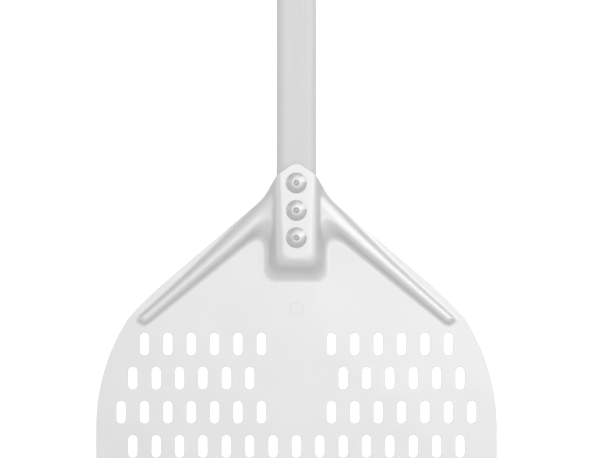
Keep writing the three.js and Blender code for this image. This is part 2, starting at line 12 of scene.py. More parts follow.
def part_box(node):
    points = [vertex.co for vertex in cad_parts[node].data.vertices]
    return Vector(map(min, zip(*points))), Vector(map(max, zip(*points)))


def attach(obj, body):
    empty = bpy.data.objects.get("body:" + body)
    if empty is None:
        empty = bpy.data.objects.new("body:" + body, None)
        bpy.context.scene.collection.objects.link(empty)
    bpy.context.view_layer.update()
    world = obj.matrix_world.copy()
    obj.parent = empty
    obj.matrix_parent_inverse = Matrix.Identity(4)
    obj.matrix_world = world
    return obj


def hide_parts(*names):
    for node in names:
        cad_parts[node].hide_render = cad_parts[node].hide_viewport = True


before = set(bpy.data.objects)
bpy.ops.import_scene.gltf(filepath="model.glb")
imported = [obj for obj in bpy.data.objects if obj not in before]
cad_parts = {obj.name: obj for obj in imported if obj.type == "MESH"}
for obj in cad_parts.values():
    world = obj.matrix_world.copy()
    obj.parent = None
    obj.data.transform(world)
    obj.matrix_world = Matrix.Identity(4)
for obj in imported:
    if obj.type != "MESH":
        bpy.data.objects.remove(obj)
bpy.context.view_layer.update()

# ---------- driving dimensions ----------
# Shapes are drawn in millimetres in head coordinates: x = 0 on the peel's axis, y = 0 where the
# straight sides meet the round shoulders, z = 0 on the resting plane.

MM = 0.001

head_low, head_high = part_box("head")
tube_low, tube_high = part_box("handle_tube")
grip_low, grip_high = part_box("end_grip")
plug_low, plug_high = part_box("tube_plug")

BLADE_HALF_WIDTH = head_high.x / MM
BLADE_LENGTH = 208                   # from y = 0 to the front edge
MIDDLE_Y = -BLADE_LENGTH - head_low.y / MM   # the row frame's origin
FRONT_Y = -BLADE_LENGTH
FRONT_CORNER_RADIUS = 28
SHEET = 1.5
EDGE_RADIUS = 0.25                   # rounding of every cut edge of the sheet
BEVEL_LENGTH = 7
BEVEL_DEPTH = 0.9

SHOULDER_ANGLE = math.radians(33)
SHOULDER_KNEE = (123.3, 106.7)
SHOULDER_KNEE_RADIUS = 330
NECK_KNEE = (28, 187.8)
NECK_KNEE_RADIUS = 44
NECK_CORNER = (16.3, 207)
TIP_ANGLE = math.radians(35)
TIP_RADIUS = 9

SLOT_WIDTH = 7.7
SLOT_LENGTH = 18.8
COLUMN_PITCH = 19.27
ROW_PITCH = 28.1
ROWS = 9
FIRST_ROW_Y = 68.45
SLOT_RIM = 10                        # least metal between a slot and the blade's side
PLAIN_DISC_RADIUS = 35               # without slots, around the middle of the second row

MARK_Y = 97.3                        # a plain ring where makers put their mark
MARK_RADIUS = 5.2

BOSS_RISE = head_high.z / MM - SHEET
BOSS_SIDE = dict(rise=BOSS_RISE, wall=math.radians(66), crest=9.5, foot=6.5)
BOSS_MOUTH = dict(rise=BOSS_RISE, wall=math.radians(66), crest=5, foot=6.5)
BOSS_END = dict(rise=BOSS_RISE, wall=math.radians(69.5), crest=11, foot=11.5)
BOSS_FACE_HALF_WIDTH = 9.5           # at the closed end; it widens evenly to the mouth
BOSS_MOUTH_HALF_WIDTH = 13
BOSS_FACE_END_Y = 140.6
BOSS_MOUTH_Y = 220                   # beyond the tip, so that the head's outline trims the boss
BOSS_FACE_CORNER_RADIUS = 6.6
BOSS_FOOT_CORNER_RADIUS = 10

RIB_FLANK = dict(rise=9, wall=math.radians(62), crest=6.8, foot=4.8)
RIB_CREST_HALF_WIDTH = 0.4
RIB_OUTER_SHARE = 0.75               # the outer flank has this much of the inner one's width
RIB_FLARE = 0.8                      # and this much more beside the boss, where the edge trims it
RIB_FLARE_LENGTH = 130
RIB_START = (11.3, 188.2)            # on the crest line, buried in the boss
RIB_END = (124.2, 90.7)              # the level crest ends here
RIB_END_WIDTH = 0.59                 # share of the width left at the end
RIB_END_HEIGHT = 0.47                # share of the height left at the end
RIB_TIP_LENGTH = 9                   # from the end of the crest to the foot of the end slope
RIB_TIP_SQUARENESS = 3               # exponent of the superellipse around the end
RIB_TIP_SKEW = 0.18                  # the outer corner reaches further than the inner one
RIB_CLIMB = 3                        # extra height of the crest where it runs into the boss
RIB_CLIMB_LENGTH = 24
FILLET_REACH = 14                    # in plan, how far from both feet the corner fillet starts
FILLET_BULGE = 6                     # more of it part of the way up
FILLET_BULGE_SHIFT = 0.6             # exponent below 1, which puts the bulge nearer to the foot
JUNCTION_BLEND = 4                   # how softly the crests run into the boss

TUBE_WALL = 1.5
TUBE_MIDDLE_Z = (tube_low.z + tube_high.z) / 2 / MM
TUBE_HALF_WIDTH = tube_high.x / MM
TUBE_HALF_HEIGHT = (tube_high.z - tube_low.z) / 2 / MM
TUBE_LIP = 0.3

GRIP_HALF_WIDTH = grip_high.x / MM
GRIP_HALF_HEIGHT = (grip_high.z - grip_low.z) / 2 / MM
GRIP_TIP_BLUNTNESS = (0.72, 0.5)     # in width and in height, 1 would be an ellipse
GRIP_GROOVES = (10, 18, 26)          # from the grip's mouth
GRIP_GROOVE_WIDTH = 4
GRIP_GROOVE_DEPTH = 0.8
GRIP_EYE_RADIUS = 6
GRIP_EYE_FROM_TIP = 13
GRIP_EYE_FLARE = 1.6

BLADE_RIVETS = ("neck", "middle", "blade")
# Head, shank, bulge and bore are radii; rim, rise and blind are heights; rings is a count.
BLADE_RIVET = dict(head=8.45, rim=0.6, rise=3.1, shank=3.2, bulge=4.7, bore=1.9, blind=4.4, rings=9)
GRIP_RIVET = dict(head=4.2, rim=0.5, rise=1.3, shank=2, bulge=3, bore=1.2, blind=3.2, rings=4)
RING_DEPTH = 0.035                   # turning marks on the rivet heads
CLEARANCE = 0.3
HARD_FOLD = math.radians(35)         # a fold sharper than this gets a hard edge

# Spacing of the mesh points on the head.
EMBOSSED_ABOVE_Y = 80                # the outline gets extra points beside the ribs and the boss
OUTLINE_SPACING = 1.2
BOSS_SPACING = 2.4
BOSS_ARC_STEPS = 9                   # level lines on each arc of the boss's flanks
RIB_SPACING = 1.8
RIB_ARC_STEPS = 7
RIB_END_STEPS = 20                   # points around the end of a rib on each level line
JUNCTION_SPACING = 1.2
JUNCTION_X = (13, 56)                # the corner between boss and rib
JUNCTION_Y = (136, 206)
PLATE_SPACING = 14
PLATE_X = (-154, 155)
PLATE_Y = (-200, 200)
FRONT_ROW_X = (-160, 161)            # rows of points that follow the ground front edge
FRONT_ROW_SPACING = 8
FRONT_ROW_INSETS = (1.2, 2.4, 3.6, 4.8, 6, BEVEL_LENGTH, BEVEL_LENGTH + 0.8)
LEAST_GAP = 0.42                     # a point closer than this to another is left out
CUT_EDGE_SPACING = 0.4               # points along the cut edges that the others keep clear of

# ---------- colours, camera and light ----------
# Each material wanders between a dark and a light tone.

SHEET_DARK, SHEET_LIGHT = (0.745, 0.747, 0.75), (0.785, 0.787, 0.79)
TUBE_DARK, TUBE_LIGHT = (0.64, 0.643, 0.65), (0.68, 0.683, 0.69)
RIVET_DARK, RIVET_LIGHT = (0.58, 0.582, 0.59), (0.64, 0.642, 0.65)
STEEL_DARK, STEEL_LIGHT = (0.42, 0.42, 0.425), (0.6, 0.6, 0.605)
POLYMER_DARK, POLYMER_LIGHT = (0.026, 0.027, 0.029), (0.05, 0.052, 0.055)
FLOOR_DARK, FLOOR_LIGHT = (0.70, 0.70, 0.70), (0.73, 0.73, 0.73)

VIEW_WIDTH = 0.5037                  # metres across the picture at the blade
VIEW_CENTRE = (7.4, 163.2)           # head coordinates of the middle of the picture
LENS = 135
SENSOR = 36

WORLD_GREY = 0.76
FLOOR_GLOW = 0.6                     # makes the floor white where the camera sees it directly
FLOOR_HALF_SIZE = 6                  # metres
FLOOR_Z = -0.0004                    # metres, just under the resting plane
SOFTBOX_AIM = (0, 100, 0)            # head coordinates, on the blade below the socket
SOFTBOXES = dict(                    # metres; a white card close to one shows its brightness
    overhead=dict(place=(0.5, 0.5, 2.2), size=2.0, brightness=1.05),
    right=dict(place=(1.55, 0.8, 0.9), size=1.4, brightness=0.7),
    left=dict(place=(-1.7, 0.3, 0.5), size=1.2, brightness=0.3),
)


# ---------- outlines ----------

def to_frame(points):
    """Head coordinates in millimetres to the row frame in metres."""
    return (np.asarray(points, float) - (0, MIDDLE_Y, 0)) * MM


def filleted(corners, tolerance=0.01, arc_steps=None):
    """Corners as (x, y, radius), counter-clockwise, as a polyline with true arcs."""
    points = []

    def add(point):
        if all((point - other).length > 1e-4 for other in points):
            points.append(point)

    for i, (x, y, radius) in enumerate(corners):
        corner = Vector((x, y))
        if radius == 0:
            add(corner)
            continue
        back = (Vector(corners[i - 1][:2]) - corner).normalized()
        ahead = (Vector(corners[(i + 1) % len(corners)][:2]) - corner).normalized()
        turn = math.pi - back.angle(ahead)
        centre = corner + (back + ahead).normalized() * (radius / math.cos(turn / 2))
        spoke = corner + back * (radius * math.tan(turn / 2)) - centre
        direction = 1 if ahead.x * back.y - ahead.y * back.x > 0 else -1
        steps = arc_steps or math.ceil(turn / (2 * math.acos(1 - tolerance / radius)))
        for k in range(steps + 1):
            angle = direction * turn * k / steps
            cos, sin = math.cos(angle), math.sin(angle)
            add(centre + Vector((spoke.x * cos - spoke.y * sin, spoke.x * sin + spoke.y * cos)))
    return np.array([tuple(p) for p in points])


def subdivided(loop, spacing, above_y=-math.inf):
    """A closed loop with extra points where it lies above a y and its edges are long."""
    points = []
    for start, end in zip(loop, np.roll(loop, -1, axis=0)):
        length = np.linalg.norm(end - start)
        pieces = max(1, math.ceil(length / spacing)) if max(start[1], end[1]) > above_y else 1
        points += [start + (end - start) * k / pieces for k in range(pieces)]
    return np.array(points)


def circle(x, y, radius, sides):
    angles = np.linspace(0, 2 * math.pi, sides, endpoint=False)
    return np.stack([x + radius * np.cos(angles), y + radius * np.sin(angles)], axis=1)


def stadium(half_width, half_height, quarter_steps=10):
    corners = [(sx * half_width, sy * half_height, half_height)
               for sx, sy in ((1, -1), (1, 1), (-1, 1), (-1, -1))]
    return filleted(corners, arc_steps=quarter_steps)


def head_outline():
    half = BLADE_HALF_WIDTH
    right = [
        (half, FRONT_Y, FRONT_CORNER_RADIUS),
        (half, half * math.tan(SHOULDER_ANGLE / 2), half),
        (half * math.cos(SHOULDER_ANGLE), half * math.sin(SHOULDER_ANGLE), 0),
        (*SHOULDER_KNEE, SHOULDER_KNEE_RADIUS),
        (*NECK_KNEE, NECK_KNEE_RADIUS),
        (*NECK_CORNER, 0),
    ]
    left = [(-x, y, radius) for x, y, radius in reversed(right)]
    tip = (0, NECK_CORNER[1] + NECK_CORNER[0] * math.tan(TIP_ANGLE), TIP_RADIUS)
    return filleted([*right, tip, *left])


def slot_centres():
    """Rows alternate: one straddles the axis, the next has a column on it."""
    centres = []
    for row in range(ROWS):
        y = FIRST_ROW_Y - row * ROW_PITCH
        top = max(0, y + SLOT_LENGTH / 2)
        stagger = 0.5 if row % 2 == 0 else 0
        far_x = math.sqrt(BLADE_HALF_WIDTH ** 2 - top ** 2) - SLOT_RIM - SLOT_WIDTH / 2
        last = math.floor(far_x / COLUMN_PITCH - stagger) + stagger
        for column in np.arange(-last, last + 1):
            x = column * COLUMN_PITCH
            if math.hypot(x, y - (FIRST_ROW_Y - ROW_PITCH)) > PLAIN_DISC_RADIUS:
                centres.append((x, y))
    return centres


def slot_loop(x, y):
    radius = SLOT_WIDTH / 2
    top, side = SLOT_LENGTH / 2, SLOT_WIDTH / 2
    corners = [(sx * side, sy * top, radius) for sx, sy in ((1, -1), (1, 1), (-1, 1), (-1, -1))]
    return filleted(corners, arc_steps=6) + (x, y)


# ---------- stamped height of the sheet ----------

def flank_parts(flank):
    """Heights of a flank's foot and crest arcs, run of the foot arc, and run of the whole flank."""
    foot_height = flank["foot"] * (1 - math.cos(flank["wall"]))
    crest_height = flank["crest"] * (1 - math.cos(flank["wall"]))
    foot_run = flank["foot"] * math.sin(flank["wall"])
    wall_run = (flank["rise"] - foot_height - crest_height) / math.tan(flank["wall"])
    run = foot_run + wall_run + flank["crest"] * math.sin(flank["wall"])
    return foot_height, crest_height, foot_run, run


RIB_REACH = RIB_CREST_HALF_WIDTH + flank_parts(RIB_FLANK)[3]   # of the inner side at the start


def run_to(flank, height):
    """Level distance in from the foot of a flank to where it has climbed to each height."""
    foot_height, crest_height, foot_run, run = flank_parts(flank)
    drop = flank["rise"] - height
    on_foot = np.sqrt(np.maximum(0, flank["foot"] ** 2 - (flank["foot"] - height) ** 2))
    on_crest = run - np.sqrt(np.maximum(0, flank["crest"] ** 2 - (flank["crest"] - drop) ** 2))
    on_wall = foot_run + (height - foot_height) / math.tan(flank["wall"])
    return np.where(height <= foot_height, on_foot, np.where(drop <= crest_height, on_crest, on_wall))


def ring_heights(flank, steps):
    """Heights above the foot that follow a flank in equal steps of slope along each arc."""
    share = np.arange(steps + 1) / steps
    foot = flank["foot"] * (1 - np.cos(flank["wall"] * share))
    crest = flank["rise"] - flank["crest"] * (1 - np.cos(flank["wall"] * share[::-1]))
    least_step = 0.05
    return np.concatenate([foot, crest[crest > foot[-1] + least_step]])


def boss_level(height):
    """Half widths at the closed end and the mouth, end and corner radius of the boss at a height."""
    side_run, full_run = run_to(BOSS_SIDE, height), flank_parts(BOSS_SIDE)[3]
    half_width = BOSS_FACE_HALF_WIDTH + full_run - side_run
    mouth_half_width = BOSS_MOUTH_HALF_WIDTH + flank_parts(BOSS_MOUTH)[3] - run_to(BOSS_MOUTH, height)
    end_y = BOSS_FACE_END_Y - flank_parts(BOSS_END)[3] + run_to(BOSS_END, height)
    shrink = BOSS_FOOT_CORNER_RADIUS - BOSS_FACE_CORNER_RADIUS
    return half_width, mouth_half_width, end_y, BOSS_FOOT_CORNER_RADIUS - shrink * side_run / full_run


def boss_distance(x, y, height):
    """Level distance from the boss at a height, negative inside it."""
    closed_half_width, mouth_half_width, end_y, radius = boss_level(height)
    share = np.clip((y - end_y) / (BOSS_MOUTH_Y - end_y), 0, 1)
    half_width = closed_half_width + (mouth_half_width - closed_half_width) * share
    beside = np.abs(x) - (half_width - radius)
    below = end_y + radius - y
    inside = np.minimum(np.maximum(beside, below), 0)
    return np.hypot(np.maximum(beside, 0), np.maximum(below, 0)) + inside - radius


def rib_axes():
    """Unit vectors along and across the right-hand rib, and the length of its crest."""
    span = np.array(RIB_END) - RIB_START
    length = np.linalg.norm(span)
    along = span / length
    return along, np.array([along[1], -along[0]]), length


def rib_size(u):
    """Reach outward and inward and share of the full height, at distances along the crest."""
    share = np.clip(u / rib_axes()[2], 0, 1)
    inner = RIB_REACH * (1 - (1 - RIB_END_WIDTH) * share)
    outer = inner * (RIB_OUTER_SHARE + RIB_FLARE * np.clip(1 - u / RIB_FLARE_LENGTH, 0, 1) ** 2)
    climb = RIB_CLIMB * np.clip(1 - u / RIB_CLIMB_LENGTH, 0, 1) ** 2
    return outer, inner, 1 - (1 - RIB_END_HEIGHT) * share + climb / RIB_FLANK["rise"]


def rib_position(x, y):
    """Distances along the rib from its start and inward across it from the crest line."""
    along, inward, _ = rib_axes()
    relative = np.stack([np.abs(x), y], axis=-1) - RIB_START
    return relative @ along, relative @ inward


def rib_distance(x, y, height):
    """About the level distance from a rib at a height, negative inside it."""
    u, v = rib_position(x, y)
    outer, inner, tallness = rib_size(u)
    reach = np.where(v < 0, outer, inner)
    across = np.abs(v) / reach
    beyond = np.maximum(u + RIB_TIP_SKEW * v - rib_axes()[2], 0) / RIB_TIP_LENGTH
    around = (across ** RIB_TIP_SQUARENESS + beyond ** RIB_TIP_SQUARENESS) ** (1 / RIB_TIP_SQUARENESS)
    level = 1 - run_to(RIB_FLANK, height / tallness) / RIB_REACH
    absent = (u < 0) | (height > tallness * RIB_FLANK["rise"])
    return np.where(absent, np.inf, (around - level) * reach)


def joined_distance(x, y, height):
    """Level distance from a rib, with a fillet in the corner between its inner side and the boss."""
    boss, rib = boss_distance(x, y, height), rib_distance(x, y, height)
    climbed = np.clip(height / RIB_FLANK["rise"], 0, 1)
    reach = FILLET_REACH + FILLET_BULGE * np.sin(math.pi * climbed ** FILLET_BULGE_SHIFT)
    overlap = np.maximum(reach - np.abs(boss - rib), 0)
    joined = np.minimum(boss, rib) - overlap ** 2 / (4 * reach)
    inner_side = rib_position(x, y)[1] > 0
    return np.where(inner_side & np.isfinite(rib), joined, rib)


def highest(distance, x, y):
    """The greatest height whose level line still surrounds each point, by bisection."""
    low, high = np.zeros_like(x), np.full_like(x, BOSS_RISE)
    halvings = 26
    for _ in range(halvings):
        middle = (low + high) / 2
        holds = distance(x, y, middle) <= 0
        low, high = np.where(holds, middle, low), np.where(holds, high, middle)
    return low


def stamped_height(x, y):
    """How far the top face stands above the flat blade, with the rib's crest eased into the boss."""
    boss, rib = highest(boss_distance, x, y), highest(joined_distance, x, y)
    lower = np.minimum(boss, rib)
    blend = JUNCTION_BLEND * lower / (lower + JUNCTION_BLEND) + 1e-9
    overlap = np.maximum(blend - np.abs(boss - rib), 0)
    return np.maximum(boss, rib) + overlap ** 2 / (4 * blend)


def ground_away(y):
    """How much the ground front edge has lost from the top face."""
    share = np.clip((FRONT_Y + BEVEL_LENGTH - y) / BEVEL_LENGTH, 0, 1)
    return BEVEL_DEPTH * share ** 1.3


def normals_of(surface, x, y, step=0.02):
    """Unit normals of a height function."""
    slope_x = (surface(x + step, y) - surface(x - step, y)) / (2 * step)
    slope_y = (surface(x, y + step) - surface(x, y - step)) / (2 * step)
    normals = np.stack([-slope_x, -slope_y, np.ones_like(x)], axis=-1)
    return normals / np.linalg.norm(normals, axis=1, keepdims=True)


# ---------- mesh helpers ----------

def make_object(name, points, faces, normals=None):
    """A mesh object from points in head coordinates, with its own normals or with hard edges."""
    mesh = bpy.data.meshes.new(name)
    mesh.from_pydata([tuple(p) for p in to_frame(points)], [], [tuple(map(int, f)) for f in faces])
    whole = bmesh.new()
    whole.from_mesh(mesh)
    bmesh.ops.recalc_face_normals(whole, faces=whole.faces)
    whole.to_mesh(mesh)
    whole.free()
    mesh.shade_smooth()
    if normals is None:
        mesh.set_sharp_from_angle(angle=HARD_FOLD)
    else:
        mesh.normals_split_custom_set_from_vertices([tuple(n) for n in normals])
    piece = bpy.data.objects.new(name, mesh)
    bpy.context.scene.collection.objects.link(piece)
    return piece


def strips(rings, closed_stack=False):
    """Quads between neighbouring rings of vertex numbers."""
    faces = []
    stack = list(zip(rings, rings[1:]))
    if closed_stack:
        stack.append((rings[-1], rings[0]))
    for lower, upper in stack:
        for a, b, c, d in zip(lower, np.roll(lower, -1), np.roll(upper, -1), upper):
            faces.append((a, b, c, d))
    return faces


def loft(name, sections, closed_stack=False):
    """A solid through equal-length sections: capped at both ends, or a ring of sections."""
    count = len(sections[0])
    rings = [np.arange(count) + k * count for k in range(len(sections))]
    faces = strips(rings, closed_stack)
    if not closed_stack:
        faces += [tuple(rings[0][::-1]), tuple(rings[-1])]
    return make_object(name, np.concatenate(sections), faces)


def along_handle(section, y):
    """A section drawn in x and z, placed across the handle at a station."""
    return np.stack([section[:, 0], np.full(len(section), y), TUBE_MIDDLE_Z + section[:, 1]], axis=1)


def spun(name, profile, y, sides=96):
    """A closed [radius, height] profile turned around the upright axis at a station."""
    angles = np.linspace(0, 2 * math.pi, sides, endpoint=False)
    points, rings = [], []
    for radius, height in profile:
        on_axis = radius == 0
        rings.append([len(points)] * sides if on_axis else [len(points) + k for k in range(sides)])
        for angle in angles[:1] if on_axis else angles:
            points.append((radius * math.cos(angle), y + radius * math.sin(angle), height))
    faces = []
    for face in strips(rings, closed_stack=profile[0][0] > 0):
        corners = list(dict.fromkeys(face))
        if len(corners) > 2:
            faces.append(corners)
    piece = make_object(name, points, faces)
    centre = Vector(to_frame((0, y, 0)))
    piece.data.transform(Matrix.Translation(-centre))
    piece.location = centre
    return piece


def cut(piece, cutters):
    """Takes the cutters' shapes out of a piece, and deletes the cutters."""
    for cutter in cutters:
        modifier = piece.modifiers.new("cut", "BOOLEAN")
        modifier.object = cutter
        modifier.operation = "DIFFERENCE"
        modifier.solver = "EXACT"
    bpy.context.view_layer.update()
    evaluated = piece.evaluated_get(bpy.context.evaluated_depsgraph_get())
    mesh = bpy.data.meshes.new_from_object(evaluated)
    piece.modifiers.clear()
    piece.data = mesh
    for cutter in cutters:
        bpy.data.objects.remove(cutter)
    mesh.shade_smooth()
    mesh.set_sharp_from_angle(angle=HARD_FOLD)
    return piece


# ---------- the sheet head ----------

def grid(x_range, y_range, spacing):
    """Evenly spaced points in a rectangle."""
    x, y = np.meshgrid(np.arange(*x_range, spacing), np.arange(*y_range, spacing))
    return np.stack([x.ravel(), y.ravel()], axis=1)


def sample_points():
    """Points along the level lines of the boss and the ribs, so that facets follow the shape."""
    samples = []
    for height in ring_heights(BOSS_SIDE, BOSS_ARC_STEPS):
        half_width, mouth_half_width, end_y, radius = boss_level(height)
        corners = [(-half_width, end_y, radius), (half_width, end_y, radius),
                   (mouth_half_width, BOSS_MOUTH_Y, 0), (-mouth_half_width, BOSS_MOUTH_Y, 0)]
        samples.append(subdivided(filleted(corners, arc_steps=12), BOSS_SPACING))
    along, inward, length = rib_axes()
    back = np.arange(0, length, RIB_SPACING)
    outer, inner, _ = rib_size(back)
    end_outer, end_inner, _ = rib_size(length)
    turn = np.linspace(-math.pi / 2, math.pi / 2, RIB_END_STEPS + 1)
    power = 2 / RIB_TIP_SQUARENESS
    for height in ring_heights(RIB_FLANK, RIB_ARC_STEPS):
        level = 1 - run_to(RIB_FLANK, height) / RIB_REACH
        end_reach = np.where(turn < 0, end_outer, end_inner)
        across = np.sign(turn) * np.abs(np.sin(turn)) ** power * end_reach
        beyond = np.maximum(np.cos(turn), 0) ** power * RIB_TIP_LENGTH
        v = level * np.concatenate([-outer, inner, across])
        u = np.concatenate([back, back, length + level * (beyond - RIB_TIP_SKEW * across)])
        right = RIB_START + np.outer(u, along) + np.outer(v, inward)
        samples += [right, right * (-1, 1)]
    junction = grid(JUNCTION_X, JUNCTION_Y, JUNCTION_SPACING)
    samples += [junction, junction * (-1, 1), grid(PLATE_X, PLATE_Y, PLATE_SPACING)]
    for inset in FRONT_ROW_INSETS:
        row = np.arange(*FRONT_ROW_X, float(FRONT_ROW_SPACING))
        samples.append(np.stack([row, np.full(len(row), FRONT_Y + inset)], axis=1))
    return np.concatenate(samples)


def inside_polygon(points, loop):
    """Which points lie inside a loop, by counting the edges to their right."""
    inside = np.zeros(len(points), bool)
    x, y = points[:, 0], points[:, 1]
    for (x0, y0), (x1, y1) in zip(loop, np.roll(loop, -1, axis=0)):
        if y0 == y1:
            continue
        crosses = (y0 > y) != (y1 > y)
        inside ^= crosses & (x < x0 + (y - y0) * (x1 - x0) / (y1 - y0))
    return inside


def outward_of(loop):
    """Unit vectors away from the metal, for a loop that keeps the metal on its left."""
    tangent = np.roll(loop, -1, axis=0) - np.roll(loop, 1, axis=0)
    outward = np.stack([tangent[:, 1], -tangent[:, 0]], axis=1)
    return outward / np.linalg.norm(outward, axis=1, keepdims=True)


def spaced_out(points, keep_clear, gap):
    """Interior points with near neighbours thinned, and none close to a cut edge."""
    cells, chosen = set(), []
    for edge_point in keep_clear:
        cx, cy = round(edge_point[0] / gap), round(edge_point[1] / gap)
        cells.update((cx + i, cy + j) for i in (-1, 0, 1) for j in (-1, 0, 1))
    for point in points:
        cell = (round(point[0] / gap), round(point[1] / gap))
        if cell not in cells:
            cells.add(cell)
            chosen.append(point)
    return np.array(chosen)


def head_loops():
    """The cut edges of the sheet, each with the metal on its left."""
    outline = subdivided(head_outline(), OUTLINE_SPACING, above_y=EMBOSSED_ABOVE_Y)
    slots = [slot_loop(x, y)[::-1] for x, y in slot_centres()]
    radius = BLADE_RIVET["shank"] + CLEARANCE
    holes = [circle(0, station(f"rivet_body_{place}"), radius, sides=32)[::-1]
             for place in BLADE_RIVETS]
    return [outline, *slots, *holes]


def on_metal(points, loops):
    """Which points lie inside the first loop and outside all the others, which are small."""
    outline, *holes = loops
    result = inside_polygon(points, outline)
    for hole in holes:
        near = np.abs(points - hole.mean(axis=0)).max(axis=1) < SLOT_LENGTH
        result[near] &= ~inside_polygon(points[near], hole)
    return result


def triangulated(loops, samples):
    """Corners and triangles of the flat metal, and the corner numbers of each loop."""
    starts = np.cumsum([0, *map(len, loops)])
    edges = [(start + k, start + (k + 1) % len(loop))
             for start, loop in zip(starts, loops) for k in range(len(loop))]
    flat_points = [Vector(p) for p in np.concatenate([*loops, samples])]
    found_points, _, found_faces, origins = delaunay_2d_cdt(flat_points, edges, [], 0, 1e-6)[:4]
    corners = np.array([tuple(p) for p in found_points])
    triangles = np.array([face for face in found_faces if len(face) == 3])
    triangles = triangles[on_metal(corners[triangles].mean(axis=1), loops)]
    number_of = {old: new for new, olds in enumerate(origins) for old in olds}
    rims = [np.array([number_of[start + k] for k in range(len(loop))])
            for start, loop in zip(starts, loops)]
    return corners, triangles, rims


def rim_ring(face, normal, flat_out, turn):
    """Points and normals along a cut edge, turned by an angle from a face towards the outside."""
    out = flat_out - (flat_out * normal).sum(axis=1, keepdims=True) * normal
    out /= np.linalg.norm(out, axis=1, keepdims=True)
    sin, cos = math.sin(turn), math.cos(turn)
    return face + EDGE_RADIUS * (out * sin - normal * (1 - cos)), out * sin + normal * cos


def skins(corners):
    """Points and normals of the sheet's top face, and of its underside, at the flat corners."""
    x, y = corners[:, 0], corners[:, 1]
    top_normals = normals_of(lambda a, b: stamped_height(a, b) - ground_away(b), x, y)
    sheet_normals = normals_of(stamped_height, x, y)
    skin = np.stack([x, y, SHEET + stamped_height(x, y)], axis=1)
    top = skin - np.stack([0 * x, 0 * x, ground_away(y)], axis=1)
    return (top, top_normals), (skin - sheet_normals * SHEET, -sheet_normals)


def build_head():
    """The sheet's top face and underside, joined by a rounded rim along every cut edge."""
    loops = head_loops()
    insets = [loop - outward_of(loop) * EDGE_RADIUS for loop in loops]
    samples = sample_points()
    samples = samples[on_metal(samples, insets)]
    cut_edges = np.concatenate([subdivided(inset, CUT_EDGE_SPACING) for inset in insets])
    samples = spaced_out(samples, cut_edges, LEAST_GAP)
    corners, triangles, rims = triangulated(insets, samples)

    top, under = skins(corners)
    count = len(corners)
    points, normals = [top[0], under[0]], [top[1], under[1]]
    faces = [tuple(t) for t in triangles] + [tuple(t[::-1] + count) for t in triangles]

    total = 2 * count
    turns = np.radians([30, 60, 90])
    steps = [(*top, turn) for turn in turns] + [(*under, turn) for turn in turns[::-1]]
    for loop, rim in zip(loops, rims):
        flat_out = np.pad(outward_of(loop), ((0, 0), (0, 1)))
        rings = [rim]
        for face, face_normals, turn in steps:
            ring_points, ring_normals = rim_ring(face[rim], face_normals[rim], flat_out, turn)
            points.append(ring_points)
            normals.append(ring_normals)
            rings.append(total + np.arange(len(rim)))
            total += len(rim)
        rings.append(rim + count)
        faces += [quad[::-1] for quad in strips(rings)]
    return make_object("head_sheet", np.concatenate(points), faces, normals=np.concatenate(normals))


# ---------- tube, plug, rivets and grip ----------

def station(node):
    """The y of a CAD node's middle, in head coordinates."""
    low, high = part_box(node)
    return (low.y + high.y) / 2 / MM + MIDDLE_Y


def handle_sections(stations):
    """Sections across the handle. Each station is (y, inset from the tube's outside)."""
    return [along_handle(stadium(TUBE_HALF_WIDTH - inset, TUBE_HALF_HEIGHT - inset), y)
            for y, inset in stations]


def rounded_end(y, inward, inset, radius):
    """Stations that round a handle piece's edge over, from its end face on to its side."""
    turns = np.radians([0, 30, 60, 90])
    return [(y + inward * radius * (1 - math.sin(t)), inset + radius * (1 - math.cos(t)))
            for t in turns[::-1]]


def rivet_cutter(rivet, y):
    """The hole of a rivet, from the tube's middle out through the top."""
    radius = rivet["shank"] + CLEARANCE
    top = TUBE_MIDDLE_Z + 2 * TUBE_HALF_HEIGHT
    profile = [(0, TUBE_MIDDLE_Z), (radius, TUBE_MIDDLE_Z), (radius, top), (0, top)]
    return spun("cutter", profile, y, sides=48)


def build_tube():
    first, last = (y / MM + MIDDLE_Y for y in (tube_low.y, tube_high.y))
    support = 1.5                    # sections here keep the lips' shading off the long sides
    outer = [*rounded_end(last, -1, 0, TUBE_LIP), (last - support, 0), (first + support, 0),
             *rounded_end(first, 1, 0, TUBE_LIP)[::-1]]
    inner = [(y, TUBE_WALL - inset) for y, inset in reversed(outer)]
    tube = loft("tube", handle_sections(outer + inner), closed_stack=True)
    cutters = [rivet_cutter(BLADE_RIVET, station(f"rivet_body_{place}")) for place in BLADE_RIVETS]
    return cut(tube, [*cutters, rivet_cutter(GRIP_RIVET, station("grip_rivet_body"))])


def build_plug():
    """The plug of the tube's hidden end: a flange with a rounded rim and a tapered neck."""
    first, last = (y / MM + MIDDLE_Y for y in (plug_low.y, plug_high.y))
    flange, neck_inset, flange_inset, lead_in = 1.4, TUBE_WALL + CLEARANCE, TUBE_WALL / 2, 1
    stations = [(last, neck_inset + lead_in), (last - lead_in, neck_inset + 0.2),
                (first + flange, neck_inset),
                *rounded_end(first + flange, -1, flange_inset, 0.3),
                *rounded_end(first, 1, flange_inset, 0.4)[::-1]]
    return loft("plug", handle_sections(stations))


def rivet_levels(rivet, face_z):
    """Heights of the tube's inner face, the rivet's blind end and the top of its dome."""
    inner_z = TUBE_MIDDLE_Z + TUBE_HALF_HEIGHT - TUBE_WALL
    return inner_z, inner_z - CLEARANCE - rivet["blind"], face_z + rivet["rise"]


